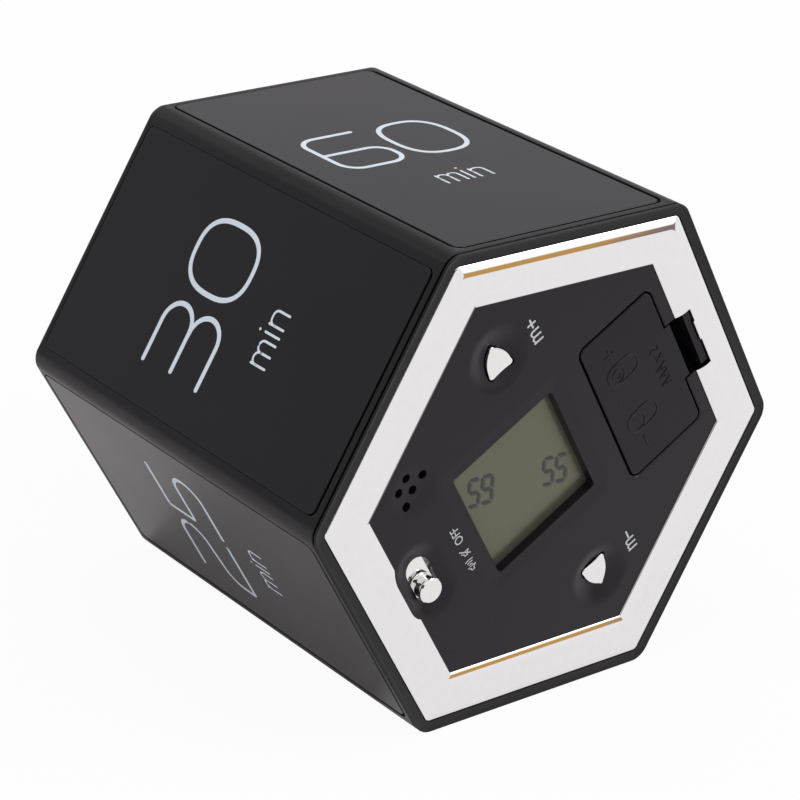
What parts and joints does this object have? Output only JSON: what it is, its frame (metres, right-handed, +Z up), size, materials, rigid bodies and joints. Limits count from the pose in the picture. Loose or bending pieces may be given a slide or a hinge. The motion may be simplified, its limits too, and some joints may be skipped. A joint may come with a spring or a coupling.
{
  "type": "kitchen timer",
  "caption": "Six-sided black flip timer with printed minute plates, a chrome bezel, a small LCD panel, push buttons, a slide switch and a battery door.",
  "frame": {"origin": "middle of the side that the timer lies on, below the middle of its overall box", "axes": "+Z up, -Y towards the viewer of the display, +X to the right of that viewer, prism axis along Y"},
  "size_m": [0.07, 0.0602, 0.0612],
  "materials": {
    "shell_plastic": "black moulded plastic, satin sheen",
    "plate_plastic": "black inlay with pale printed numbers",
    "bezel_chrome": "bright chrome plating",
    "button_chrome": "bright chrome plating",
    "panel_plastic": "black fine-textured plastic",
    "door_plastic": "black fine-textured plastic",
    "display_glass": "LCD glass, grey green",
    "reflector_foil": "matt foil",
    "frame_plastic": "black plastic",
    "zebra_rubber": "silicone strip",
    "board_laminate": "green solder mask",
    "chip_resin": "black resin",
    "chip_ceramic": "small chip parts",
    "can_steel": "plated steel",
    "key_steel": "key switch body",
    "key_plastic": "black plunger",
    "brass_disc": "sounding disc",
    "cell_wrap": "plain printed wrap",
    "contact_steel": "nickel-plated spring steel",
    "red_insulation": "red insulation",
    "black_insulation": "black insulation"
  },
  "bodies": {
    "timer_body": {"main_shell": "shell_plastic", "number_plate_60": "plate_plastic", "number_plate_30": "plate_plastic", "number_plate_25": "plate_plastic", "number_plate_15": "plate_plastic", "number_plate_10": "plate_plastic", "number_plate_05": "plate_plastic", "chrome_bezel": "bezel_chrome", "front_panel": "panel_plastic", "lcd_front_glass": "display_glass", "lcd_rear_glass": "display_glass", "lcd_reflector": "reflector_foil", "lcd_support_frame": "frame_plastic", "mode_switch_case": "frame_plastic", "buzzer_case": "frame_plastic", "battery_case": "frame_plastic", "zebra_strip": "zebra_rubber", "main_board": "board_laminate", "controller_blob": "chip_resin", "orientation_sensor": "chip_resin", "chip_parts": "chip_ceramic", "timing_crystal": "can_steel", "panel_screws": "can_steel", "board_screws": "can_steel", "case_screws": "can_steel", "plus_tact_switch": "key_steel", "minus_tact_switch": "key_steel", "buzzer_disc": "brass_disc", "upper_cell": "cell_wrap", "lower_cell": "cell_wrap", "negative_contact": "contact_steel", "positive_contact": "contact_steel", "red_lead": "red_insulation", "black_lead": "black_insulation"},
    "plus_button": {"plus_button": "button_chrome", "plus_tact_plunger": "key_plastic"},
    "minus_button": {"minus_button": "button_chrome", "minus_tact_plunger": "key_plastic"},
    "mode_knob": {"mode_knob": "button_chrome", "mode_switch_slider": "frame_plastic"},
    "battery_door": {"battery_door": "door_plastic", "door_contact": "contact_steel"},
    "door_latch": {"door_latch": "door_plastic"}
  },
  "joints": [
    {"name": "plus_button_press", "type": "slide", "parent": "timer_body", "child": "plus_button", "axis": [0, 1, 0], "range_m": [0, 0.0005], "stiffness_N_per_m": 1500, "springref_m": -0.0003},
    {"name": "minus_button_press", "type": "slide", "parent": "timer_body", "child": "minus_button", "axis": [0, 1, 0], "range_m": [0, 0.0005], "stiffness_N_per_m": 1500, "springref_m": -0.0003},
    {"name": "mode_switch_slide", "type": "slide", "parent": "timer_body", "child": "mode_knob", "axis": [-0.5, 0, 0.866], "range_m": [0, 0.0032]},
    {"name": "battery_door_open", "type": "hinge", "parent": "timer_body", "child": "battery_door", "pos_m": [0.00843, -0.0295, 0.03541], "axis": [0.5, 0, -0.866], "range_deg": [0, 80]},
    {"name": "door_latch_flex", "type": "hinge", "parent": "battery_door", "child": "door_latch", "pos_m": [0.02146, -0.026, 0.04293], "axis": [0.5, 0, -0.866], "range_deg": [0, 9], "stiffness_Nm_per_rad": 0.02, "springref_deg": -1.15}
  ]
}
